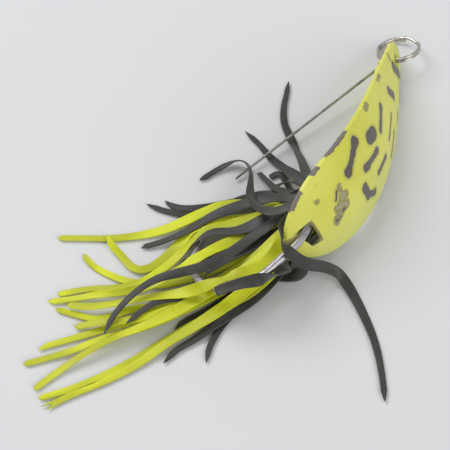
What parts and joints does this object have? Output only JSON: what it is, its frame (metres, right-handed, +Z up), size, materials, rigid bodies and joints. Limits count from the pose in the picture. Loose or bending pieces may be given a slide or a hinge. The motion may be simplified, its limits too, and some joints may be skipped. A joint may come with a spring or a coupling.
{
  "type": "weedless fishing spoon",
  "caption": "Weedless surface spoon with a painted rockered body, a large hook through a tail window, a wire weed guard, a nose split ring and a skirt of black and chartreuse rubber strips",
  "frame": {"origin": "on the table, under the middle of the lure's rigid pieces, as it lies on one long edge of the spoon and on its hook", "axes": "+X runs from the hook's bend to the nose ring, +Z is up from the table, and the skirt spreads to +Y and -X"},
  "size_m": [0.1292, 0.0851, 0.0229],
  "materials": {
    "painted_spoon": "satin paint, worn at the edges",
    "lead": "dull cast lead",
    "hook_steel": "dulled plating",
    "guard_wire": "drawn spring wire",
    "ring_steel": "bright nickel, worn",
    "skirt_band": "matt rubber",
    "collar_rubber": "matt rubber",
    "black_rubber": "soft matt rubber",
    "chartreuse_rubber": "soft satin rubber"
  },
  "bodies": {
    "root": {"spoon_body": "painted_spoon", "keel_weight": "lead", "hook": "hook_steel", "skirt_hub": "skirt_band", "skirt_collar": "collar_rubber", "black_strip_01": "black_rubber", "black_strip_02": "black_rubber", "black_strip_03": "black_rubber", "black_strip_04": "black_rubber", "black_strip_05": "black_rubber", "black_strip_06": "black_rubber", "black_strip_07": "black_rubber", "black_strip_08": "black_rubber", "black_strip_09": "black_rubber", "black_strip_10": "black_rubber", "black_strip_11": "black_rubber", "black_strip_12": "black_rubber", "black_strip_13": "black_rubber", "black_strip_14": "black_rubber", "black_strip_15": "black_rubber", "black_strip_16": "black_rubber", "black_strip_17": "black_rubber", "black_strip_18": "black_rubber", "black_strip_19": "black_rubber", "chartreuse_strip_01": "chartreuse_rubber", "chartreuse_strip_02": "chartreuse_rubber", "chartreuse_strip_03": "chartreuse_rubber", "chartreuse_strip_04": "chartreuse_rubber", "chartreuse_strip_05": "chartreuse_rubber", "chartreuse_strip_06": "chartreuse_rubber", "chartreuse_strip_07": "chartreuse_rubber", "chartreuse_strip_08": "chartreuse_rubber", "chartreuse_strip_09": "chartreuse_rubber", "chartreuse_strip_10": "chartreuse_rubber", "chartreuse_strip_11": "chartreuse_rubber", "chartreuse_strip_12": "chartreuse_rubber", "chartreuse_strip_13": "chartreuse_rubber"},
    "guard": {"weed_guard": "guard_wire"},
    "ring": {"split_ring": "ring_steel"}
  },
  "joints": [
    {"name": "guard_flex", "type": "hinge", "parent": "root", "child": "guard", "pos_m": [0.03273, -0.0038, 0.00493], "axis": [0.1037, 0.4305, 0.8966], "range_deg": [0, 12], "stiffness_Nm_per_rad": 0.02},
    {"name": "ring_swing", "type": "hinge", "parent": "root", "child": "ring", "pos_m": [0.03512, -0.00585, 0.00463], "axis": [0.2262, -0.9311, 0.286], "range_deg": [-75, 75]}
  ]
}
